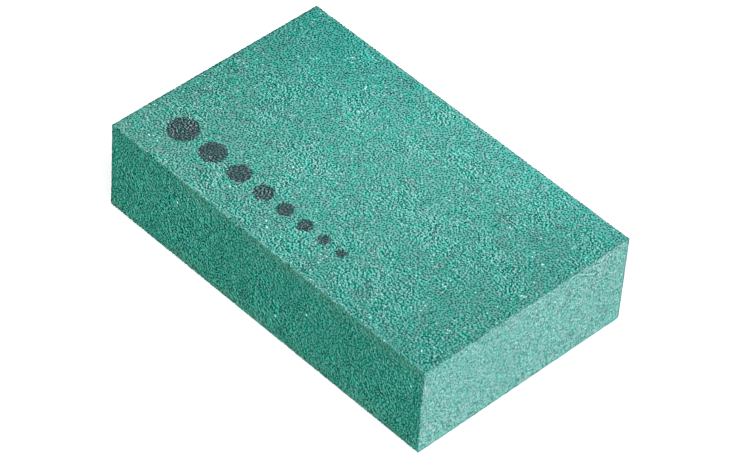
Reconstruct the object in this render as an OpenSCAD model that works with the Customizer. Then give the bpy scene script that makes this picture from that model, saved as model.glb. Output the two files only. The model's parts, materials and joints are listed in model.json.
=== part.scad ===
// Elastic abrasive hand block: coarse crystals set in a springy green bond.
// X runs along the block, Y across it, Z up. The origin is the middle of the underside.

/* [Block] */
// Length over the two sawn ends
block_length = 80; // [50:1:110]
// Width over the crystal tips of the two long sides
block_width = 50; // [30:1:70]
// Thickness from the underside to the crystal tips on top
block_thickness = 20; // [12:1:30]
// Radius of the two long edges on top
top_edge_radius = 0.4; // [0.2:0.1:1.5]
// Radius of the two long edges on the underside
bottom_edge_radius = 0.6; // [0.3:0.1:2]

/* [Grain] */
// Largest width of one abrasive crystal
grain_size = 1.2; // [0.8:0.1:1.6]
// Mean gap between neighbouring crystals
grain_gap = 2.4; // [1.8:0.1:5]
// Least gap between neighbouring crystals
grain_least_gap = 0.2; // [0.1:0.05:0.5]
// Share of a crystal's size that stands out of a pressed face, in percent
grain_exposure = 30; // [15:1:40]
// Steepest lean of a crystal, in degrees
grain_lean = 40; // [0:1:50]
// Least share of the full crystal radius that a corner reaches, in percent
grain_sharpness = 70; // [60:1:95]
// Number that sets the random scatter
grain_seed = 60; // [1:1:900]

/* [Hidden] */
bond_color = "teal";
pressed_color = "darkslategray";
cut_color = "lightsteelblue";

// Pressed faces leave the crystals proud, while the sawn ends and the dressed underside cut them flush
grain_proud = grain_size*grain_exposure/100;
bond_width = block_width - 2*grain_proud;
bond_thickness = block_thickness - grain_proud;
side_middle = bond_thickness/2;

// Crystals keep clear of the rounded edges and of the crystals round the corner
grain_border = max(top_edge_radius, bottom_edge_radius, grain_size) + grain_size/2;
grain_pitch = grain_size + grain_gap;

// A crystal is a bipyramid with three corners round its waist
waist = 3;
crystal_faces = [
    for (k = [0:waist - 1]) [(k + 1) % waist, k, waist],
    for (k = [0:waist - 1]) [k, (k + 1) % waist, waist + 1]
];

// A point leant about X, then turned about Z
function leant(p, lean, turn) =
    let (y = p.y*cos(lean) - p.z*sin(lean), z = p.y*sin(lean) + p.z*cos(lean))
    [p.x*cos(turn) - y*sin(turn), p.x*sin(turn) + y*cos(turn), z];

// Corners of one crystal, lowered or lifted until its tip stands grain_proud over z = 0
function crystal_points(seed) =
    let (reach = rands(grain_size/2*grain_sharpness/100, grain_size/2, waist + 2, seed))
    let (pose = rands(-1, 1, 2, seed + 0.5))
    let (corners = [
        for (k = [0:waist - 1]) reach[k]*[cos(360/waist*k), sin(360/waist*k), 0],
        [0, 0, reach[waist]],
        [0, 0, -reach[waist + 1]]
    ])
    let (stood = [for (p = corners) leant(p, pose[0]*grain_lean, pose[1]*180)])
    let (tip = max([for (p = stood) p.z]))
    [for (p = stood) p + [0, 0, grain_proud - tip]];

function cells(extent) = max(1, floor((extent - 2*grain_border)/grain_pitch));

// Crystals strewn over a face of size u by v that looks up, one in each cell of a grid
module scatter(u, v, face_number) {
    rows = cells(u);
    columns = cells(v);
    cell = [(u - 2*grain_border)/rows, (v - 2*grain_border)/columns];
    stray = (cell - [1, 1]*(grain_size + grain_least_gap))/2;
    for (i = [0:rows - 1], j = [0:columns - 1]) {
        seed = grain_seed + 1000*face_number + 40*i + j;
        shift = rands(-1, 1, 2, seed + 0.25);
        translate([
            (i + 0.5 - rows/2)*cell.x + shift.x*stray.x,
            (j + 0.5 - columns/2)*cell.y + shift.y*stray.y,
            0
        ])
            polyhedron(crystal_points(seed), crystal_faces);
    }
}

// What the saw and the dressing leave of crystals that stood proud
module cut_flush() {
    intersection() {
        translate([-block_length/2, -block_width/2, 0])
            cube([block_length, block_width, block_thickness]);
        children();
    }
}

module top_grains() {
    color(pressed_color)
        translate([0, 0, bond_thickness])
            scatter(block_length, bond_width, 0);
}

module underside_grains() {
    color(cut_color)
        cut_flush()
            rotate([180, 0, 0])
                scatter(block_length, bond_width, 1);
}

module front_grains() {
    color(pressed_color)
        translate([0, -bond_width/2, side_middle])
            rotate([90, 0, 0])
                scatter(block_length, bond_thickness, 2);
}

module back_grains() {
    color(pressed_color)
        translate([0, bond_width/2, side_middle])
            rotate([-90, 0, 0])
                scatter(block_length, bond_thickness, 3);
}

module left_end_grains() {
    color(cut_color)
        cut_flush()
            translate([-block_length/2, 0, side_middle])
                rotate([0, -90, 0])
                    scatter(bond_thickness, bond_width, 4);
}

module right_end_grains() {
    color(cut_color)
        cut_flush()
            translate([block_length/2, 0, side_middle])
                rotate([0, 90, 0])
                    scatter(bond_thickness, bond_width, 5);
}

// Upper half of the pressed bar's cross-section, with its two edges rounded
module half_section(edge_radius) {
    flat_width = bond_width - 2*edge_radius;
    flat_height = side_middle - edge_radius;
    translate([-flat_width/2, 0])
        square([flat_width, side_middle]);
    translate([-bond_width/2, 0])
        square([bond_width, flat_height]);
    for (side = [-1, 1])
        translate([side*flat_width/2, flat_height])
            circle(edge_radius, $fn = 48);
}

// Whole cross-section about its middle
module bar_section() {
    half_section(top_edge_radius);
    mirror([0, 1])
        half_section(bottom_edge_radius);
}

// Springy bond, with a socket that fits each crystal
module bond_block() {
    color(bond_color)
        difference() {
            translate([-block_length/2, 0, side_middle])
                rotate([90, 0, 90])
                    linear_extrude(block_length)
                        bar_section();
            top_grains();
            underside_grains();
            front_grains();
            back_grains();
            left_end_grains();
            right_end_grains();
        }
}

bond_block();
top_grains();
underside_grains();
front_grains();
back_grains();
left_end_grains();
right_end_grains();
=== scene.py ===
import json
import math
import random

import bmesh
import bpy
from mathutils import Matrix, Vector, noise

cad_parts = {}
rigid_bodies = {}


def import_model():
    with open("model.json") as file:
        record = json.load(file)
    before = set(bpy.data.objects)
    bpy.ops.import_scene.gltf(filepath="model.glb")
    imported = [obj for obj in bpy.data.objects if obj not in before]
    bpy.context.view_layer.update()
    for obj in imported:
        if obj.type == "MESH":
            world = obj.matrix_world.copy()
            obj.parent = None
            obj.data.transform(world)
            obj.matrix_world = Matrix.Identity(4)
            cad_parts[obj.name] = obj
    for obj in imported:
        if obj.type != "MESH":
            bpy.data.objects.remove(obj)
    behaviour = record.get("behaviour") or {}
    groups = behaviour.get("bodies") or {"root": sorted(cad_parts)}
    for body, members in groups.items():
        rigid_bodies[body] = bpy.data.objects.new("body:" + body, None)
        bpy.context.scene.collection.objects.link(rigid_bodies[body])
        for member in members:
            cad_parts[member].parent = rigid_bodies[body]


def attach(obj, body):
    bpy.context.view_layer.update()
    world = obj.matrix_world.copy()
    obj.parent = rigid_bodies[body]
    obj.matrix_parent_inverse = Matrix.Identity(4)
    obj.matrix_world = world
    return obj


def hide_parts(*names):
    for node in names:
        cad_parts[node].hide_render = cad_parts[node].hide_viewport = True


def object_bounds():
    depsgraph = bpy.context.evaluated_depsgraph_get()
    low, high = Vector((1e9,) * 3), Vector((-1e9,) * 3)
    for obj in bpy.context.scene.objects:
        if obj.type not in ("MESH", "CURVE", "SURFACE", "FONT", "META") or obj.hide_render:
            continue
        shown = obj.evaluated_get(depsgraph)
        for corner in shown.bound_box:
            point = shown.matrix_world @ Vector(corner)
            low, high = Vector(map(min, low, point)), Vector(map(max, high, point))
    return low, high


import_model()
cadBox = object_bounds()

mm = 0.001
scene = bpy.context.scene
scene.view_settings.view_transform = "Standard"
scene.cycles.filter_width = 1.1   # crisp, as the grain is about a pixel wide


def linear(red, green, blue):
    # display values from 0 to 255, as an eyedropper shows them
    shares = [value / 255 for value in (red, green, blue)]
    return tuple(s / 12.92 if s < 0.04045 else ((s + 0.055) / 1.055) ** 2.4 for s in shares) + (1.0,)


# small node helpers

def addNode(tree, kind, inputs=None, **settings):
    node = tree.nodes.new(kind)
    for name, value in settings.items():
        setattr(node, name, value)
    for name, value in (inputs or {}).items():
        wire(tree, value, node, name)
    return node


def openSocket(sockets, name):
    if isinstance(name, int):
        return sockets[name]
    return next(s for s in sockets if s.name == name and s.enabled)


def wire(tree, value, node, name):
    # a socket is linked, and anything else is set on the input itself
    target = openSocket(node.inputs, name)
    if isinstance(value, bpy.types.NodeSocket):
        tree.links.new(value, target)
    else:
        target.default_value = value


def mathNode(tree, operation, *values):
    node = addNode(tree, "ShaderNodeMath", operation=operation)
    for index, value in enumerate(values):
        wire(tree, value, node, index)
    return node.outputs[0]


def between(tree, value, low, high):
    return mathNode(tree, "MINIMUM", mathNode(tree, "MAXIMUM", value, low), high)


def ramped(tree, value, low, high):
    # 0 below low, 1 above high, smooth between
    node = addNode(tree, "ShaderNodeMapRange", interpolation_type="SMOOTHSTEP", clamp=True)
    for name, given in {"Value": value, "From Min": low, "From Max": high}.items():
        wire(tree, given, node, name)
    return node.outputs[0]


def mixed(tree, factor, first, second):
    node = addNode(tree, "ShaderNodeMix", data_type="RGBA", clamp_factor=True)
    for name, given in {"Factor": factor, "A": first, "B": second}.items():
        wire(tree, given, node, name)
    return openSocket(node.outputs, "Result")


def mixedVector(tree, factor, first, second):
    node = addNode(tree, "ShaderNodeMix", data_type="VECTOR", inputs={
        "Factor": factor, "A": first, "B": second})
    return openSocket(node.outputs, "Result")


def multiplied(tree, colour, tint):
    node = addNode(tree, "ShaderNodeMix", data_type="RGBA", blend_type="MULTIPLY")
    for name, given in {"Factor": 1.0, "A": colour, "B": tint}.items():
        wire(tree, given, node, name)
    return openSocket(node.outputs, "Result")


def vectorNode(tree, operation, first, second):
    return addNode(tree, "ShaderNodeVectorMath", operation=operation, inputs={0: first, 1: second}).outputs[0]


def grainValue(tree, name):
    return addNode(tree, "ShaderNodeAttribute", attribute_name=name).outputs["Fac"]


def objectPlace(tree):
    return addNode(tree, "ShaderNodeTexCoord").outputs["Object"]


def cloudy(tree, scale, detail, roughness=0.5, place=None, flat=False):
    # noise about zero
    cloud = addNode(tree, "ShaderNodeTexNoise", noise_dimensions="2D" if flat else "3D", inputs={
        "Vector": place or objectPlace(tree), "Scale": scale, "Detail": detail, "Roughness": roughness})
    return mathNode(tree, "SUBTRACT", cloud.outputs["Fac"], 0.5)


def flanked(tree, scale, place, flank, flat):
    # painted light and shade: each lump lighter on its flank towards the light and darker on the other
    luff, lee = [
        cloudy(tree, scale, 1.0, place=vectorNode(tree, step, place, flank), flat=flat)
        for step in ("SUBTRACT", "ADD")]
    return mathNode(tree, "SUBTRACT", luff, lee)


tintLook = {
    "patchScale": 640.0,
    "patchDetail": 3.0,
    "patchRoughness": 0.65,
    "patchSpread": 2.6,
    "towards": (-1.0, 0.16, -0.02),   # red, green and blue of a greener patch, reversed for a greyer one
    "smudgeScale": 330.0,
    "smudgeEdge": (0.10, 0.24),
    "smudgeShare": 0.5,
    "smudge": (1.0, 0.66, 0.70, 1.0),
}


def tinted(tree, colour, share):
    # greener and greyer patches, of a grain or two up to some millimetres across
    patch = cloudy(tree, tintLook["patchScale"], tintLook["patchDetail"], tintLook["patchRoughness"])
    patch = mathNode(tree, "MULTIPLY_ADD", patch, tintLook["patchSpread"], 0.5)
    green, grey = [tuple(1 + s * way for way in tintLook["towards"]) + (1.0,) for s in (share, -share)]
    smudge = ramped(tree, cloudy(tree, tintLook["smudgeScale"], 1.0), *tintLook["smudgeEdge"])
    smudge = mathNode(tree, "MULTIPLY", smudge, tintLook["smudgeShare"])
    return multiplied(tree, colour, mixed(tree, smudge, mixed(tree, patch, green, grey), tintLook["smudge"]))


def fromBox(tree):
    # depth under the ends, under the long sides, under the top and over the underside
    low, high = cadBox
    split = addNode(tree, "ShaderNodeSeparateXYZ", inputs={0: objectPlace(tree)})
    ends, sides = [
        mathNode(tree, "SUBTRACT", high[axis], mathNode(tree, "ABSOLUTE", split.outputs[axis]))
        for axis in range(2)]
    height = split.outputs["Z"]
    return ends, sides, mathNode(tree, "SUBTRACT", high.z, height), mathNode(tree, "SUBTRACT", height, low.z)


def newGroup(name, inputs, outputs):
    tree = bpy.data.node_groups.new(name, "ShaderNodeTree")
    for label, kind in inputs.items():
        tree.interface.new_socket(label, in_out="INPUT", socket_type="NodeSocket" + kind)
    for label, kind in outputs.items():
        tree.interface.new_socket(label, in_out="OUTPUT", socket_type="NodeSocket" + kind)
    return tree, addNode(tree, "NodeGroupInput").outputs, addNode(tree, "NodeGroupOutput")


# camera, lights and floor

cameraSetup = {
    "place": (345.5 * mm, -366.0 * mm, 503.2 * mm),
    "aim": (1.91 * mm, -1.16 * mm, 10.0 * mm),
    "rollDegrees": 4.49,
    "lens": 193.8,
    "nearest": 50.0 * mm,
}


def placeCamera(setup):
    camera = bpy.data.objects.new("camera", bpy.data.cameras.new("camera"))
    scene.collection.objects.link(camera)
    camera.data.lens = setup["lens"]
    camera.data.clip_start = setup["nearest"]
    place = Vector(setup["place"])
    look = (Vector(setup["aim"]) - place).to_track_quat("-Z", "Y").to_matrix().to_4x4()
    roll = Matrix.Rotation(math.radians(setup["rollDegrees"]), 4, "Z")
    camera.matrix_world = Matrix.Translation(place) @ look @ roll
    scene.camera = camera


lightSetup = {
    "skyLow": 0.58,                    # away from the bright side
    "skyHigh": 1.10,                   # towards it
    "brightSide": (0.66, -0.22, 0.72),
    "glowStarts": -0.4,                # cosine of the angle to it
    "keyPlace": (0.55, -0.22, 0.80),
    "keySize": 0.45,
    "keyWatts": 5.0,
}


def placeLights(setup):
    world = bpy.data.worlds.new("studio")
    world.use_nodes = True
    tree = world.node_tree
    direction = addNode(tree, "ShaderNodeTexCoord").outputs["Generated"]
    facing = addNode(tree, "ShaderNodeVectorMath", operation="DOT_PRODUCT", inputs={
        0: direction, 1: Vector(setup["brightSide"]).normalized()})
    glow = addNode(tree, "ShaderNodeMapRange", interpolation_type="SMOOTHSTEP", inputs={
        "Value": facing.outputs["Value"], "From Min": setup["glowStarts"], "From Max": 1.0,
        "To Min": setup["skyLow"], "To Max": setup["skyHigh"]})
    seen = addNode(tree, "ShaderNodeLightPath").outputs["Is Camera Ray"]   # plain white behind the floor
    wire(tree, mathNode(tree, "MAXIMUM", seen, glow.outputs[0]), tree.nodes["Background"], "Strength")
    tree.nodes["Background"].inputs["Color"].default_value = (1.0, 1.0, 1.0, 1.0)
    scene.world = world
    lamp = bpy.data.lights.new("key", "AREA")
    lamp.energy = setup["keyWatts"]
    lamp.size = setup["keySize"]
    holder = bpy.data.objects.new("key", lamp)
    scene.collection.objects.link(holder)
    place = Vector(setup["keyPlace"])
    holder.matrix_world = Matrix.Translation(place) @ (-place).to_track_quat("-Z", "Y").to_matrix().to_4x4()


floorLook = {"reach": 3.0, "colour": (0.36, 0.36, 0.36, 1.0), "glow": 0.70, "roughness": 0.9}


def makeFloor():
    # white paper lit from behind, so that shadows stay faint
    bm = bmesh.new()
    bmesh.ops.create_grid(bm, x_segments=1, y_segments=1, size=floorLook["reach"])
    mesh = bpy.data.meshes.new("floor")
    bm.to_mesh(mesh)
    bm.free()
    floor = bpy.data.objects.new("floor", mesh)
    scene.collection.objects.link(floor)
    material = bpy.data.materials.new("paleFloor")
    material.use_nodes = True
    shader = material.node_tree.nodes["Principled BSDF"]
    shader.inputs["Base Color"].default_value = floorLook["colour"]
    shader.inputs["Roughness"].default_value = floorLook["roughness"]
    shader.inputs["Specular IOR Level"].default_value = 0.0
    shader.inputs["Emission Color"].default_value = (1.0, 1.0, 1.0, 1.0)
    shader.inputs["Emission Strength"].default_value = floorLook["glow"]
    mesh.materials.append(material)


# the pressed bar that the mould and the saw leave

barShape = {
    "topRadius": 0.25 * mm,     # of the two long edges on top
    "bottomRadius": 0.6 * mm,   # and of the two under it
    "radiusSteps": 4,
    "tolerance": 0.01 * mm,
    "cutTolerance": 1e-7,
    "leastReach": 1e-6,         # so that nothing is divided by zero at the core
}


def barMesh(depth, endDepth):
    # the bar's outside, drawn in by a depth all along and by another at its ends
    low = cadBox[0] + Vector((endDepth, depth, depth))
    high = cadBox[1] - Vector((endDepth, depth, depth))
    bm = bmesh.new()
    bmesh.ops.create_cube(bm, size=1.0)
    bmesh.ops.scale(bm, vec=high - low, verts=bm.verts)
    bmesh.ops.translate(bm, vec=(low + high) / 2, verts=bm.verts)
    for level, radius in ((high.z, barShape["topRadius"]), (low.z, barShape["bottomRadius"])):
        atLevel = [
            e for e in bm.edges if all(abs(v.co.z - level) < barShape["tolerance"] for v in e.verts)]
        longEdges = [e for e in atLevel if abs(e.verts[0].co.x - e.verts[1].co.x) > mm]
        bmesh.ops.bevel(
            bm, geom=longEdges, offset=radius - depth, segments=barShape["radiusSteps"],
            profile=0.5, affect="EDGES", material=-1)
    bmesh.ops.recalc_face_normals(bm, faces=bm.faces)
    return bm


def sliceUp(bm, step):
    corners = [v.co.copy() for v in bm.verts]
    for axis in range(3):
        low = min(c[axis] for c in corners)
        span = max(c[axis] for c in corners) - low
        count = round(span / step)
        normal = Vector([float(axis == k) for k in range(3)])
        for cut in range(1, count):
            everything = bm.verts[:] + bm.edges[:] + bm.faces[:]
            bmesh.ops.bisect_plane(
                bm, geom=everything, dist=barShape["cutTolerance"],
                plane_co=normal * (low + span * cut / count), plane_no=normal)


# the springy bond that shows between the crystals

bondLook = {
    "gridStep": 0.6 * mm,
    "edgeDepth": 0.09 * mm,   # below the crystal tips along the edges
    "pitDepth": 0.01 * mm,    # and deeper than that between the crystals of a pressed face
    "cutDepth": 0.01 * mm,    # or of a cut one
    "endDepth": 0.04 * mm,
    "edgeBand": 0.6 * mm,
    "lump": 0.03 * mm,
    "lumpScale": 900.0,
    "top": (linear(2, 109, 96), linear(138, 205, 196)),    # on the painted shaded flank and on the painted lit flank of its lumps
    # the sides' colours are darker than the top's: partly painted shade
    "sides": (linear(0, 83, 67), linear(89, 185, 167)),
    "ends": (linear(13, 106, 98), linear(141, 198, 192)),
    "contrast": 0.82,         # of the two, on the whole
    "tint": {"top": 0.44, "sides": 0.48, "ends": 0.26},
    "wearAndSheenShare": 0.7,              # share of the edge patches on the bond, against that of the crystals: painted highlight along the top's long edges, wear along the sides'
    "ragged": 2.0 * mm,       # wander of the colour borders at the edges
    "reliefScale": 2100.0,
    "coarser": 0.7,           # than on the top, for the sides and ends
    "paintedReliefEdge": 0.35,
    # towards the light, on the top and elsewhere
    "flanks": ((0.06 * mm, 0.09 * mm, 0.0), (0.08 * mm, 0.06 * mm, 0.0)),
    "roughness": 0.85,
    "roughShare": -0.2,       # of the fine lumps
    "shine": 0.02,
    "bump": 0.1 * mm,
    "bumpStrength": 0.6,
    "inkLost": -0.5,          # share of the ink that the lumps don't take
    "borderScale": 1700.0,
    "sideBorder": 0.06 * mm,
    "endBorder": 0.05 * mm,
}


def bondDepth(place):
    gaps = [min(place[k] - cadBox[0][k], cadBox[1][k] - place[k]) for k in range(3)]
    nearest, toEdge, _ = sorted(gaps)
    isCut = nearest == gaps[0] or nearest == place.z - cadBox[0].z
    share = min(toEdge / bondLook["edgeBand"], 1.0)
    lump = bondLook["lump"] * (1.0 + noise.noise(place * bondLook["lumpScale"])) / 2
    return (bondLook["cutDepth" if isCut else "pitDepth"] + lump) * share


def makeBondBody():
    bm = barMesh(bondLook["edgeDepth"], bondLook["endDepth"])
    sliceUp(bm, bondLook["gridStep"])
    moves = {vert: vert.normal * -bondDepth(vert.co) for vert in bm.verts}
    for vert, move in moves.items():
        vert.co += move
    for face in bm.faces:
        face.smooth = True
    mesh = bpy.data.meshes.new("bondBody")
    bm.to_mesh(mesh)
    bm.free()
    body = bpy.data.objects.new("bondBody", mesh)
    scene.collection.objects.link(body)
    return body


# crystals, in units of one grain size, standing on the bond

crystalShape = {
    "sides": (3, 4, 3, 4, 5, 3, 4, 3, 4),   # one crystal for each
    "radius": {3: 0.70, 4: 0.60, 5: 0.56},
    "sunk": 0.25,
    "stretch": 2.6,
    "glintGrowth": 0.25,   # of the few bright ones
    "crowding": 4.0,       # tries for each place on the bed
    "seed": 11,
    "downwards": -0.5,     # a face that leans further down than this is the base
    "pressed": {"tip": (0.70, 0.95), "jitter": 0.12, "top": (0.30, 0.45)},
    "cut": {"tip": (0.72, 0.92), "jitter": 0.10, "top": (0.45, 0.55)},
}


def makeCrystals(kind):
    shape = crystalShape[kind]
    dice = random.Random(crystalShape["seed"] + len(kind))
    holder = bpy.data.collections.new(kind + "Crystals")
    for index, sides in enumerate(crystalShape["sides"]):
        bm = bmesh.new()
        radius = crystalShape["radius"][sides]
        bmesh.ops.create_cone(
            bm, cap_ends=True, cap_tris=False, segments=sides, radius1=radius,
            radius2=radius * dice.uniform(*shape["tip"]), depth=1.0)
        topHeight = dice.uniform(*shape["top"])
        longer = dice.uniform(1.0, crystalShape["stretch"]) ** 0.5
        rise = bm.verts.layers.float.new("rise")
        buried = bm.faces.layers.float.new("buried")
        for face in bm.faces:
            face[buried] = float(face.normal.z < crystalShape["downwards"])
        for vert in bm.verts:
            vert[rise] = float(vert.co.z > 0)
            vert.co.x = vert.co.x * longer + dice.uniform(-1, 1) * shape["jitter"]
            vert.co.y = vert.co.y / longer + dice.uniform(-1, 1) * shape["jitter"]
            vert.co.z = topHeight if vert[rise] else -crystalShape["sunk"]
        bmesh.ops.triangulate(bm, faces=bm.faces)
        mesh = bpy.data.meshes.new(f"{kind}Crystal{index}")
        bm.to_mesh(mesh)
        bm.free()
        holder.objects.link(bpy.data.objects.new(mesh.name, mesh))
    return holder


# grain strewn over each face

grainBeds = {
    "topGrain": {
        "node": "top_grains", "faces": Vector((0, 0, 1)), "map": (0, 1), "strewn": "pressed"},
    "undersideGrain": {
        "node": "underside_grains", "faces": Vector((0, 0, -1)), "map": (0, 1), "strewn": "dressed"},
    "frontGrain": {
        "node": "front_grains", "faces": Vector((0, -1, 0)), "map": (0, 2), "strewn": "pressed"},
    "backGrain": {
        "node": "back_grains", "faces": Vector((0, 1, 0)), "map": (0, 2), "strewn": "pressed"},
    "leftEndGrain": {
        "node": "left_end_grains", "faces": Vector((-1, 0, 0)), "map": (1, 2), "strewn": "sawn"},
    "rightEndGrain": {
        "node": "right_end_grains", "faces": Vector((1, 0, 0)), "map": (1, 2), "strewn": "sawn"},
}

strewing = {
    "pressed": {"crystals": "pressed", "pitch": 0.43 * mm, "small": 0.30 * mm, "large": 0.40 * mm,
                "lean": 0.25, "press": 0.04 * mm, "bedDepth": 0.12 * mm, "glints": 0.0013},
    "sawn": {"crystals": "cut", "pitch": 0.25 * mm, "small": 0.24 * mm, "large": 0.38 * mm,
             "lean": 0.0, "press": 0.03 * mm, "bedDepth": 0.06 * mm, "glints": 0.003},
    "dressed": {"crystals": "cut", "pitch": 0.44 * mm, "small": 0.42 * mm, "large": 0.64 * mm,
                "lean": 0.0, "press": 0.03 * mm, "bedDepth": 0.06 * mm, "glints": 0.003},
}

mapShare = 0.82    # of the bake map, for the faces that show
mapMargin = 0.01   # on each side of the strip for the rest
bedFacing = 0.7    # least cosine between a bed's faces and its own side


def randomNode(tree, dataType, low, high, seed):
    node = addNode(tree, "FunctionNodeRandomValue", data_type=dataType)
    for name, value in {"Min": low, "Max": high, "Seed": seed}.items():
        wire(tree, value, node, name)
    return next(s for s in node.outputs if s.enabled)


def storeNode(tree, geometry, name, value, dataType, domain):
    node = addNode(tree, "GeometryNodeStoreNamedAttribute", data_type=dataType, domain=domain)
    for socket, given in {"Geometry": geometry, "Name": name, "Value": value}.items():
        wire(tree, given, node, socket)
    return node.outputs[0]


def strewnCrystals(tree, source, sizes, crystals, seed):
    points = addNode(
        tree, "GeometryNodeDistributePointsOnFaces", distribute_method="POISSON", inputs={"Mesh": source})
    density = crystalShape["crowding"] / sizes["pitch"] ** 2
    for name, value in {"Distance Min": sizes["pitch"], "Density Max": density, "Seed": seed}.items():
        wire(tree, value, points, name)
    stock = addNode(tree, "GeometryNodeCollectionInfo", inputs={
        "Collection": crystals, "Separate Children": True, "Reset Children": True})
    shapeCount = len(crystalShape["sides"])
    lean = sizes["lean"]
    turn = randomNode(tree, "FLOAT_VECTOR", (-lean, -lean, -math.pi), (lean, lean, math.pi), seed + 1)
    turned = addNode(tree, "FunctionNodeRotateRotation", rotation_space="LOCAL", inputs={
        "Rotation": points.outputs["Rotation"],
        "Rotate By": addNode(tree, "FunctionNodeEulerToRotation", inputs={"Euler": turn}).outputs[0]})
    kind = randomNode(tree, "FLOAT", 0.0, 1.0, seed + 5)
    bright = mathNode(tree, "GREATER_THAN", kind, 1.0 - sizes["glints"])
    larger = mathNode(tree, "MULTIPLY_ADD", bright, crystalShape["glintGrowth"], 1.0)
    scale = randomNode(tree, "FLOAT", sizes["small"], sizes["large"], seed + 3)
    scale = mathNode(tree, "MULTIPLY", scale, larger)
    placed = addNode(tree, "GeometryNodeInstanceOnPoints", inputs={
        "Points": points.outputs["Points"], "Instance": stock.outputs[0], "Pick Instance": True,
        "Instance Index": randomNode(tree, "INT", 0, shapeCount - 1, seed + 2),
        "Rotation": turned.outputs[0], "Scale": scale})
    return placed.outputs[0]


def heldPlace(tree, pressDepth):
    # the mould and the saw hold every crystal inside the bar, some a little lower than others
    low, high = cadBox
    position = addNode(tree, "GeometryNodeInputPosition").outputs[0]
    split = addNode(tree, "ShaderNodeSeparateXYZ", inputs={0: position})
    along, across, height = split.outputs
    press = addNode(tree, "GeometryNodeInputNamedAttribute", data_type="FLOAT", inputs={"Name": "press"})
    inset = mathNode(tree, "MULTIPLY", press.outputs[0], pressDepth)
    inLowerHalf = mathNode(tree, "LESS_THAN", height, (low.z + high.z) / 2)
    rounder = barShape["bottomRadius"] - barShape["topRadius"]
    radius = mathNode(tree, "MULTIPLY_ADD", inLowerHalf, rounder, barShape["topRadius"])
    heldAlong = between(
        tree, along, mathNode(tree, "ADD", inset, low.x), mathNode(tree, "SUBTRACT", high.x, inset))
    coreAcross = between(
        tree, across, mathNode(tree, "ADD", radius, low.y), mathNode(tree, "SUBTRACT", high.y, radius))
    coreHeight = between(
        tree, height, mathNode(tree, "ADD", radius, low.z), mathNode(tree, "SUBTRACT", high.z, radius))
    out = addNode(tree, "ShaderNodeCombineXYZ", inputs={
        1: mathNode(tree, "SUBTRACT", across, coreAcross),
        2: mathNode(tree, "SUBTRACT", height, coreHeight)}).outputs[0]
    reach = addNode(tree, "ShaderNodeVectorMath", operation="LENGTH", inputs={0: out}).outputs["Value"]
    reach = mathNode(tree, "MAXIMUM", reach, barShape["leastReach"])
    limit = mathNode(tree, "DIVIDE", mathNode(tree, "SUBTRACT", radius, inset), reach)
    drawnIn = addNode(tree, "ShaderNodeVectorMath", operation="SCALE", inputs={
        0: out, "Scale": mathNode(tree, "MINIMUM", limit, 1.0)}).outputs[0]
    core = addNode(tree, "ShaderNodeCombineXYZ", inputs={0: heldAlong, 1: coreAcross, 2: coreHeight})
    return vectorNode(tree, "ADD", core.outputs[0], drawnIn)


def bakePlace(tree, axes):
    # the face seen square on, with the buried bases in a strip of their own
    position = addNode(tree, "GeometryNodeInputPosition").outputs[0]
    split = addNode(tree, "ShaderNodeSeparateXYZ", inputs={0: position})
    low, high = cadBox
    across, along = [
        addNode(tree, "ShaderNodeMapRange", inputs={
            "Value": split.outputs[axis], "From Min": low[axis], "From Max": high[axis]}).outputs[0]
        for axis in axes]
    buried = addNode(tree, "GeometryNodeInputNamedAttribute", data_type="FLOAT", inputs={"Name": "buried"})
    shown = mathNode(tree, "MULTIPLY", along, mapShare)
    hidden = mathNode(tree, "MULTIPLY_ADD", along, 1.0 - 2 * mapMargin - mapShare, mapShare + mapMargin)
    height = addNode(tree, "ShaderNodeMix", data_type="FLOAT", inputs={
        "Factor": buried.outputs[0], "A": shown, "B": hidden})
    height = openSocket(height.outputs, "Result")
    return addNode(tree, "ShaderNodeCombineXYZ", inputs={0: across, 1: height}).outputs[0]


def scatterTree(bed, crystals, seed):
    sizes = strewing[bed["strewn"]]
    tree = bpy.data.node_groups.new("grainScatter", "GeometryNodeTree")
    tree.interface.new_socket("Bed", in_out="INPUT", socket_type="NodeSocketGeometry")
    tree.interface.new_socket("Grain", in_out="OUTPUT", socket_type="NodeSocketGeometry")
    grain = strewnCrystals(tree, addNode(tree, "NodeGroupInput").outputs[0], sizes, crystals, seed)
    for offset, name in enumerate(("tone", "kind", "press")):
        grain = storeNode(
            tree, grain, name, randomNode(tree, "FLOAT", 0.0, 1.0, seed + 4 + offset), "FLOAT", "INSTANCE")
    grain = addNode(tree, "GeometryNodeRealizeInstances", inputs={"Geometry": grain}).outputs[0]
    grain = addNode(tree, "GeometryNodeSetPosition", inputs={
        "Geometry": grain, "Position": heldPlace(tree, sizes["press"])}).outputs[0]
    grain = storeNode(tree, grain, "OFBake", bakePlace(tree, bed["map"]), "FLOAT2", "CORNER")
    addNode(tree, "NodeGroupOutput", inputs={0: grain})
    return tree


def makeGrain(name, bed, crystals, seed):
    depth = strewing[bed["strewn"]]["bedDepth"]
    bm = barMesh(depth, depth if bed["faces"].x else 0.0)
    others = [f for f in bm.faces if f.normal.dot(bed["faces"]) < bedFacing]
    bmesh.ops.delete(bm, geom=others, context="FACES")
    mesh = bpy.data.meshes.new(name + "Bed")
    bm.to_mesh(mesh)
    bm.free()
    holder = bpy.data.objects.new(name + "Bed", mesh)
    scene.collection.objects.link(holder)
    holder.modifiers.new("scatter", "NODES").node_group = scatterTree(bed, crystals, seed)
    graph = bpy.context.evaluated_depsgraph_get()
    strewn = bpy.data.meshes.new_from_object(
        holder.evaluated_get(graph), preserve_all_data_layers=True, depsgraph=graph)
    strewn.name = name
    piece = bpy.data.objects.new(name, strewn)
    scene.collection.objects.link(piece)
    bpy.data.objects.remove(holder)
    return piece


# effects that several finishes share

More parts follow.
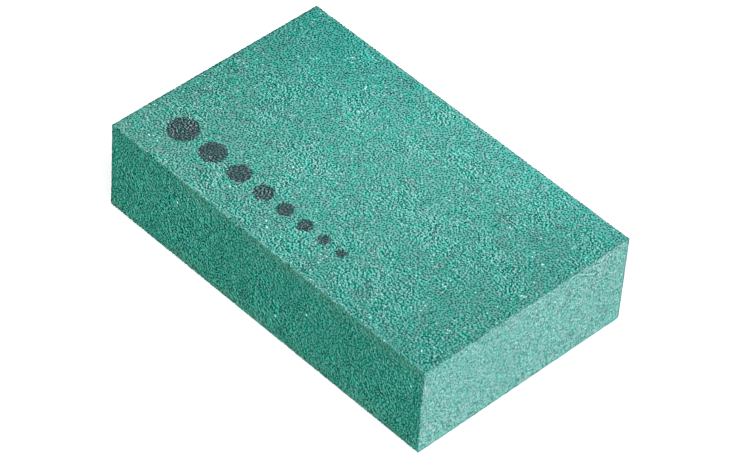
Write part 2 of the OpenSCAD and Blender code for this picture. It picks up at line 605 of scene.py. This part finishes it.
toneLook = {
    "meanRise": 0.6,
    "paintedReliefScale": 2800.0,
    "flank": (0.06 * mm, 0.07 * mm, 0.0),   # towards the light
    "cloudScale": 260.0,
    "cloudShare": 0.12,
    "rougher": 0.08,     # the darkest crystals
    "smoother": -0.15,   # and from those to the lightest
}


def grainToneGroup():
    tree, given, out = newGroup("grainTone", {
        "Dark": "Color", "Middle": "Color", "Light": "Color", "Tone Share": "Float",
        "Rise Share": "Float", "Speckle": "Float", "Contrast": "Float"}, {"Color": "Color", "Level": "Float"})
    tone = mathNode(tree, "SUBTRACT", grainValue(tree, "tone"), 0.5)
    # painted shade: each crystal darker towards its buried base and lighter towards its top
    rise = mathNode(tree, "SUBTRACT", grainValue(tree, "rise"), toneLook["meanRise"])
    # painted light and shade: the crystals lighter on the flank of each fine lump towards the light and
    # darker on the other
    paintedCrystalRelief = flanked(tree, toneLook["paintedReliefScale"], objectPlace(tree), toneLook["flank"], False)
    level = mathNode(tree, "MULTIPLY", tone, given["Tone Share"])
    level = mathNode(tree, "MULTIPLY_ADD", rise, given["Rise Share"], level)
    level = mathNode(tree, "MULTIPLY_ADD", paintedCrystalRelief, given["Speckle"], level)
    level = mathNode(tree, "MULTIPLY_ADD", level, given["Contrast"], 0.5)
    cloud = cloudy(tree, toneLook["cloudScale"], 3.0)
    level = mathNode(tree, "MULTIPLY_ADD", cloud, toneLook["cloudShare"], level)
    lower = ramped(tree, level, 0.0, 0.5)
    upper = ramped(tree, level, 0.5, 1.0)
    colour = mixed(tree, upper, mixed(tree, lower, given["Dark"], given["Middle"]), given["Light"])
    wire(tree, colour, out, "Color")
    wire(tree, level, out, "Level")
    return tree


# painted glints: a near-white colour on the top facets of a few crystals
glintLook = {
    "colour": linear(206, 242, 238),
    "facet": (0.7, 0.95),   # rise over which the bright facet begins
    "smoother": -0.35,
}


def glintGroup():
    # the top facets of a few crystals, for the painted glints and for the pale flecks
    tree, given, out = newGroup("glint", {"Share": "Float"}, {"Mask": "Float"})
    few = mathNode(
        tree, "GREATER_THAN", grainValue(tree, "kind"), mathNode(tree, "SUBTRACT", 1.0, given["Share"]))
    facet = ramped(tree, grainValue(tree, "rise"), *glintLook["facet"])
    wire(tree, mathNode(tree, "MULTIPLY", few, facet), out, "Mask")
    return tree


edgeSheenAndWearPatches = (0.30, 0.65)   # noise over which an edge patch begins: painted highlight on the top, wear on the sides


def longEdgeGroup():
    # patches along the four long edges, on the top and on the sides: a painted highlight on the top and wear
    # on the sides
    tree, given, out = newGroup("longEdge", {"Reach": "Float", "Patch Scale": "Float"}, {"Mask": "Float"})
    _, sides, under, over = fromBox(tree)
    fromEdge = mathNode(tree, "MAXIMUM", sides, mathNode(tree, "MINIMUM", under, over))
    fromEdge = mathNode(tree, "DIVIDE", fromEdge, given["Reach"])
    patches = addNode(tree, "ShaderNodeTexNoise", inputs={
        "Vector": objectPlace(tree), "Scale": given["Patch Scale"], "Detail": 3.0}).outputs["Fac"]
    near = mathNode(tree, "SUBTRACT", 1.0, ramped(tree, fromEdge, 0.0, 1.0))
    wire(tree, mathNode(tree, "MULTIPLY", near, ramped(tree, patches, *edgeSheenAndWearPatches)), out, "Mask")
    return tree


unevenLook = {
    "patchScale": 140.0,
    "shares": {"pressedTop": 4.6, "pressedSide": 2.8, "sawnEnd": 1.4},   # of the patches in the contrast
    "slope": (4.0, -12.0),    # for each metre along and across the top
    "limits": (0.1, 1.9),
}


def unevenGroup():
    # the grain stands out more in some patches than in others, and more towards one long side
    tree, given, out = newGroup("uneven", {"Share": "Float", "On Top": "Float"}, {"Contrast": "Float"})
    split = addNode(tree, "ShaderNodeSeparateXYZ", inputs={0: objectPlace(tree)})
    patch = mathNode(tree, "MULTIPLY_ADD", cloudy(tree, unevenLook["patchScale"], 2.0), given["Share"], 1.0)
    along, across = unevenLook["slope"]
    trend = mathNode(tree, "MULTIPLY", split.outputs["Y"], across)
    trend = mathNode(tree, "MULTIPLY_ADD", split.outputs["X"], along, trend)
    contrast = mathNode(tree, "MULTIPLY_ADD", trend, given["On Top"], patch)
    wire(tree, between(tree, contrast, *unevenLook["limits"]), out, "Contrast")
    return tree


rubbed = {
    # the painted darker surroundings of the pool of light
    "outsidePool": (0.535, 0.73, 0.71, 1.0),
    "patches": (
        # a painted pool of light over the middle, then paler and greyer towards the front left corner,
        # greener towards the back on the left and paler towards the back on the right
        {"middle": (0.0, 11.0 * mm), "reach": (38.0 * mm, 40.0 * mm),
         "tint": (1.832, 1.459, 1.514, 1.0)},
        {"middle": (-48.0 * mm, -35.0 * mm), "reach": (34.0 * mm, 24.0 * mm),
         "tint": (1.80, 1.25, 1.235, 1.0)},
        {"middle": (-29.0 * mm, 35.0 * mm), "reach": (17.0 * mm, 24.0 * mm),
         "tint": (0.57, 1.05, 1.055, 1.0)},
        {"middle": (27.0 * mm, 35.0 * mm), "reach": (28.0 * mm, 15.0 * mm),
         "tint": (1.21, 1.32, 1.36, 1.0)},
    ),
}


def paintedPoolAndTintsGroup():
    # painted light on the top: a pale pool over the middle with darker surroundings, and tint patches towards
    # the corners
    tree, _, out = newGroup("rubbed", {}, {"Tint": "Color"})
    split = addNode(tree, "ShaderNodeSeparateXYZ", inputs={0: objectPlace(tree)})
    tint = rubbed["outsidePool"]
    for patch in rubbed["patches"]:
        squares = 0.0
        for axis in range(2):
            away = mathNode(tree, "SUBTRACT", split.outputs[axis], patch["middle"][axis])
            away = mathNode(tree, "DIVIDE", away, patch["reach"][axis])
            squares = mathNode(tree, "MULTIPLY_ADD", away, away, squares)
        share = mathNode(tree, "EXPONENT", mathNode(tree, "MULTIPLY", squares, -1.0))
        tint = multiplied(tree, tint, mixed(tree, share, (1.0, 1.0, 1.0, 1.0), patch["tint"]))
    wire(tree, tint, out, "Tint")
    return tree


def chippedGroup():
    # crystals that belong to the face round the corner, where the saw cuts meet the pressed faces
    tree, given, out = newGroup("chipped", {"Reach": "Float"}, {"At Saw": "Float", "At Mould": "Float"})
    ends, sides, under, _ = fromBox(tree)
    reach = mathNode(tree, "POWER", grainValue(tree, "press"), 2.0)
    reach = mathNode(tree, "MULTIPLY", reach, given["Reach"])
    wire(tree, mathNode(tree, "LESS_THAN", ends, reach), out, "At Saw")
    wire(tree, mathNode(tree, "LESS_THAN", mathNode(tree, "MINIMUM", sides, under), reach), out, "At Mould")
    return tree


# a plain row of round dots from coarse to fine, printed on the top

inkDots = {
    "count": 8,
    "startX": -34.0 * mm,
    "row": -16.0 * mm,
    "firstRadius": 3.1 * mm,
    "shrink": 0.86,
    "gap": 2.0 * mm,
    "ragged": 1.6 * mm,
    "raggedScale": 2200.0,
    "ink": linear(52, 46, 58),
    "takes": (0.1, 0.5),     # tone over which a crystal takes more of it
    "leastShare": 0.50,
    "moreShare": 0.45,
}


def inkGroup():
    tree, _, out = newGroup("inkDots", {}, {"Mask": "Float"})
    split = addNode(tree, "ShaderNodeSeparateXYZ", inputs={0: objectPlace(tree)})
    ragged = mathNode(tree, "MULTIPLY", cloudy(tree, inkDots["raggedScale"], 2.0), inkDots["ragged"])
    along = mathNode(tree, "SUBTRACT", split.outputs["Y"], inkDots["row"])
    covered = 0.0
    edge = inkDots["startX"]
    for dot in range(inkDots["count"]):
        radius = inkDots["firstRadius"] * inkDots["shrink"] ** dot
        across = mathNode(tree, "SUBTRACT", split.outputs["X"], edge + radius)
        squares = mathNode(tree, "MULTIPLY_ADD", across, across, mathNode(tree, "MULTIPLY", along, along))
        away = mathNode(tree, "ADD", mathNode(tree, "SQRT", squares), ragged)
        covered = mathNode(tree, "MAXIMUM", covered, mathNode(tree, "LESS_THAN", away, radius))
        edge += 2 * radius + inkDots["gap"]
    onTop = mathNode(tree, "GREATER_THAN", split.outputs["Z"], cadBox[1].z - mm)
    wire(tree, mathNode(tree, "MULTIPLY", covered, onTop), out, "Mask")
    return tree


# finishes

grainFinishes = {
    "pressedTop": {
        "dark": linear(0, 78, 66), "middle": linear(14, 112, 99), "light": linear(142, 214, 205),
        "pit": linear(0, 72, 62), "pitShare": 0.05, "toneShare": 0.28, "riseShare": 0.20, "paintedCrystalRelief": 0.30,
        "fleck": linear(170, 214, 207), "fleckShare": 0.04, "glintShare": 0.0013,
        "roughness": 0.60, "shine": 0.03, "inked": True, "tint": 0.44,
        # its pale edge colour is a painted highlight along the rounded long edges
        "edgeReach": 0.8 * mm, "edgePatch": 300.0, "edgeColour": linear(150, 206, 196), "edgeShare": 0.6,
        "chipped": "At Saw", "chipReach": 0.30 * mm, "chipColour": linear(92, 166, 157)},
    # darker than the pressed top, though the same finish: partly painted shade
    "pressedSide": {
        "dark": linear(0, 64, 50), "middle": linear(2, 96, 80), "light": linear(98, 194, 176),
        "pit": linear(0, 54, 41), "pitShare": 0.05, "toneShare": 0.30, "riseShare": 0.20, "paintedCrystalRelief": 0.30,
        "fleck": linear(100, 182, 166), "fleckShare": 0.04, "glintShare": 0.0006,
        "roughness": 0.75, "shine": 0.02, "inked": False, "tint": 0.48,
        "edgeReach": 4.5 * mm, "edgePatch": 130.0, "edgeColour": linear(84, 126, 106), "edgeShare": 0.6,
        "chipped": "At Saw", "chipReach": 0.30 * mm, "chipColour": linear(92, 166, 157)},
    "sawnEnd": {
        "dark": linear(10, 84, 70), "middle": linear(106, 176, 168), "light": linear(160, 208, 202),
        "pit": linear(28, 118, 104), "pitShare": 0.09, "toneShare": 0.66, "riseShare": 0.30, "paintedCrystalRelief": 0.92,
        "fleck": linear(172, 210, 205), "fleckShare": 0.03, "glintShare": 0.006,
        "roughness": 0.50, "shine": 0.25, "inked": False, "tint": 0.26,
        "edgeReach": None, "chipped": "At Mould", "chipReach": 0.45 * mm, "chipColour": linear(4, 90, 74)},
}


def grainMaterial(name, look, groups):
    material = bpy.data.materials.new(name)
    material.use_nodes = True
    tree = material.node_tree
    shader = tree.nodes["Principled BSDF"]
    uneven = addNode(tree, "ShaderNodeGroup", node_tree=groups["uneven"], inputs={
        "Share": unevenLook["shares"][name], "On Top": float(look["inked"])})
    tone = addNode(tree, "ShaderNodeGroup", node_tree=groups["tone"], inputs={
        "Dark": look["dark"], "Middle": look["middle"], "Light": look["light"],
        "Tone Share": look["toneShare"], "Rise Share": look["riseShare"], "Speckle": look["paintedCrystalRelief"],
        "Contrast": uneven.outputs["Contrast"]})
    colour = tinted(tree, tone.outputs["Color"], look["tint"])
    if look["inked"]:
        # the painted pool of light and the tint patches on the top
        lightPool = addNode(tree, "ShaderNodeGroup", node_tree=groups["rubbed"])
        colour = multiplied(tree, colour, lightPool.outputs["Tint"])
    # edge patches: a painted highlight on the top, wear on the sides
    if look["edgeReach"]:
        edge = addNode(tree, "ShaderNodeGroup", node_tree=groups["edge"], inputs={
            "Reach": look["edgeReach"], "Patch Scale": look["edgePatch"]})
        edgeWearAndSheen = mathNode(tree, "MULTIPLY", edge.outputs["Mask"], grainValue(tree, "kind"))
        colour = mixed(tree, mathNode(tree, "MULTIPLY", edgeWearAndSheen, look["edgeShare"]), colour, look["edgeColour"])
    chips = addNode(tree, "ShaderNodeGroup", node_tree=groups["chipped"], inputs={"Reach": look["chipReach"]})
    colour = mixed(tree, chips.outputs[look["chipped"]], colour, look["chipColour"])
    pits = mathNode(tree, "LESS_THAN", grainValue(tree, "kind"), look["pitShare"])
    colour = mixed(tree, pits, colour, look["pit"])
    fleck = addNode(tree, "ShaderNodeGroup", node_tree=groups["glint"], inputs={"Share": look["fleckShare"]})
    colour = mixed(tree, fleck.outputs["Mask"], colour, look["fleck"])
    # painted glints on the top facets of a few crystals
    glint = addNode(tree, "ShaderNodeGroup", node_tree=groups["glint"], inputs={"Share": look["glintShare"]})
    colour = mixed(tree, glint.outputs["Mask"], colour, glintLook["colour"])
    if look["inked"]:
        ink = addNode(tree, "ShaderNodeGroup", node_tree=groups["ink"])
        taken = ramped(tree, grainValue(tree, "tone"), *inkDots["takes"])
        taken = mathNode(tree, "MULTIPLY_ADD", taken, inkDots["moreShare"], inkDots["leastShare"])
        colour = mixed(tree, mathNode(tree, "MULTIPLY", ink.outputs["Mask"], taken), colour, inkDots["ink"])
    wire(tree, colour, shader, "Base Color")
    rough = look["roughness"] + toneLook["rougher"]
    rough = mathNode(tree, "MULTIPLY_ADD", tone.outputs["Level"], toneLook["smoother"], rough)
    rough = mathNode(tree, "MULTIPLY_ADD", glint.outputs["Mask"], glintLook["smoother"], rough)
    wire(tree, rough, shader, "Roughness")
    shader.inputs["Specular IOR Level"].default_value = look["shine"]
    return material


def squareOn(tree, atSide, atEnd):
    # the top, the sides and the ends each seen square on
    along, across, height = addNode(tree, "ShaderNodeSeparateXYZ", inputs={0: objectPlace(tree)}).outputs
    top, sides, ends = [
        addNode(tree, "ShaderNodeCombineXYZ", inputs={0: first, 1: second}).outputs[0]
        for first, second in ((along, across), (along, height), (across, height))]
    sides, ends = [vectorNode(tree, "MULTIPLY", part, [bondLook["coarser"]] * 3) for part in (sides, ends)]
    return mixedVector(tree, atEnd, mixedVector(tree, atSide, top, sides), ends)


def bondMaterial(groups):
    material = bpy.data.materials.new("bondMatrix")
    material.use_nodes = True
    tree = material.node_tree
    shader = tree.nodes["Principled BSDF"]
    fromEnd, fromSide, under, over = fromBox(tree)
    fromFace = mathNode(tree, "MINIMUM", under, over)
    ragged = mathNode(tree, "MULTIPLY", cloudy(tree, bondLook["borderScale"], 1.0), bondLook["ragged"])
    atSide = mathNode(tree, "ADD", mathNode(tree, "SUBTRACT", fromFace, fromSide), ragged)
    atSide = ramped(tree, atSide, -bondLook["sideBorder"], bondLook["sideBorder"])
    atEnd = mathNode(tree, "SUBTRACT", mathNode(tree, "MINIMUM", fromFace, fromSide), fromEnd)
    atEnd = ramped(tree, mathNode(tree, "ADD", atEnd, ragged), -bondLook["endBorder"], bondLook["endBorder"])
    place = squareOn(tree, atSide, atEnd)
    offTop = mathNode(tree, "MAXIMUM", atSide, atEnd)
    flank = mixedVector(tree, offTop, *bondLook["flanks"])
    fine = cloudy(tree, bondLook["reliefScale"], 1.0, place=place, flat=True)
    onTop, onSide, onEnd = unevenLook["shares"].values()
    share = mathNode(tree, "MULTIPLY_ADD", atSide, onSide - onTop, onTop)
    share = mathNode(tree, "MULTIPLY_ADD", atEnd, mathNode(tree, "SUBTRACT", onEnd, share), share)
    uneven = addNode(tree, "ShaderNodeGroup", node_tree=groups["uneven"], inputs={
        "Share": share, "On Top": mathNode(tree, "SUBTRACT", 1.0, offTop)})
    contrast = mathNode(tree, "MULTIPLY", uneven.outputs["Contrast"], bondLook["contrast"])
    # painted light and shade on the flanks of the lumps picks the bond's colour between the two of each face
    paintedRelief = flanked(tree, bondLook["reliefScale"], place, flank, True)
    paintedRelief = ramped(tree, paintedRelief, -bondLook["paintedReliefEdge"], bondLook["paintedReliefEdge"])
    paintedRelief = mathNode(tree, "MULTIPLY_ADD", mathNode(tree, "SUBTRACT", paintedRelief, 0.5), contrast, 0.5)
    top, sides, ends = [
        tinted(tree, mixed(tree, paintedRelief, *bondLook[part]), share) for part, share in bondLook["tint"].items()]
    # the painted pool of light and the tint patches on the top
    top = multiplied(tree, top, addNode(tree, "ShaderNodeGroup", node_tree=groups["rubbed"]).outputs["Tint"])
    # edge patches: a painted highlight on the top, wear on the sides
    edgeWearAndSheen = []
    for part, finish in ((top, "pressedTop"), (sides, "pressedSide")):
        look = grainFinishes[finish]
        edge = addNode(tree, "ShaderNodeGroup", node_tree=groups["edge"], inputs={
            "Reach": look["edgeReach"], "Patch Scale": look["edgePatch"]})
        share = mathNode(tree, "MULTIPLY", edge.outputs["Mask"], look["edgeShare"] * bondLook["wearAndSheenShare"])
        edgeWearAndSheen.append(mixed(tree, share, part, look["edgeColour"]))
    top, sides = edgeWearAndSheen
    colour = mixed(tree, atEnd, mixed(tree, atSide, top, sides), ends)
    ink = addNode(tree, "ShaderNodeGroup", node_tree=groups["ink"])
    taken = mathNode(tree, "MULTIPLY_ADD", paintedRelief, bondLook["inkLost"], 1.0)
    taken = mathNode(tree, "MULTIPLY", ink.outputs["Mask"], taken)
    colour = mixed(tree, taken, colour, inkDots["ink"])
    wire(tree, colour, shader, "Base Color")
    rough = mathNode(tree, "MULTIPLY_ADD", fine, bondLook["roughShare"], bondLook["roughness"])
    wire(tree, rough, shader, "Roughness")
    shader.inputs["Specular IOR Level"].default_value = bondLook["shine"]
    bump = addNode(tree, "ShaderNodeBump", inputs={
        "Height": mathNode(tree, "MULTIPLY", fine, uneven.outputs["Contrast"]),
        "Distance": bondLook["bump"], "Strength": bondLook["bumpStrength"]})
    wire(tree, bump.outputs[0], shader, "Normal")
    return material


placeCamera(cameraSetup)
placeLights(lightSetup)
makeFloor()
print("stage set")

groups = {
    "tone": grainToneGroup(), "glint": glintGroup(), "edge": longEdgeGroup(), "chipped": chippedGroup(),
    "ink": inkGroup(), "rubbed": paintedPoolAndTintsGroup(), "uneven": unevenGroup()}
finishes = {name: grainMaterial(name, look, groups) for name, look in grainFinishes.items()}
print("finishes made")

body = makeBondBody()
body.data.materials.append(bondMaterial(groups))
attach(body, "root")
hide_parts("bond_block")
print("bond body", len(body.data.polygons), "faces")

crystalStock = {kind: makeCrystals(kind) for kind in ("pressed", "cut")}
finishOf = {
    "topGrain": "pressedTop", "undersideGrain": "sawnEnd", "frontGrain": "pressedSide",
    "backGrain": "pressedSide", "leftEndGrain": "sawnEnd", "rightEndGrain": "sawnEnd",
}
for number, (name, bed) in enumerate(grainBeds.items()):
    crystals = strewing[bed["strewn"]]["crystals"]
    piece = makeGrain(name, bed, crystalStock[crystals], 100 * number)
    piece.data.materials.clear()
    piece.data.materials.append(finishes[finishOf[name]])
    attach(piece, "root")
    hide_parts(bed["node"])
    print(name, len(piece.data.polygons), "faces")
for holder in crystalStock.values():
    for crystal in list(holder.objects):
        bpy.data.objects.remove(crystal)
    bpy.data.collections.remove(holder)
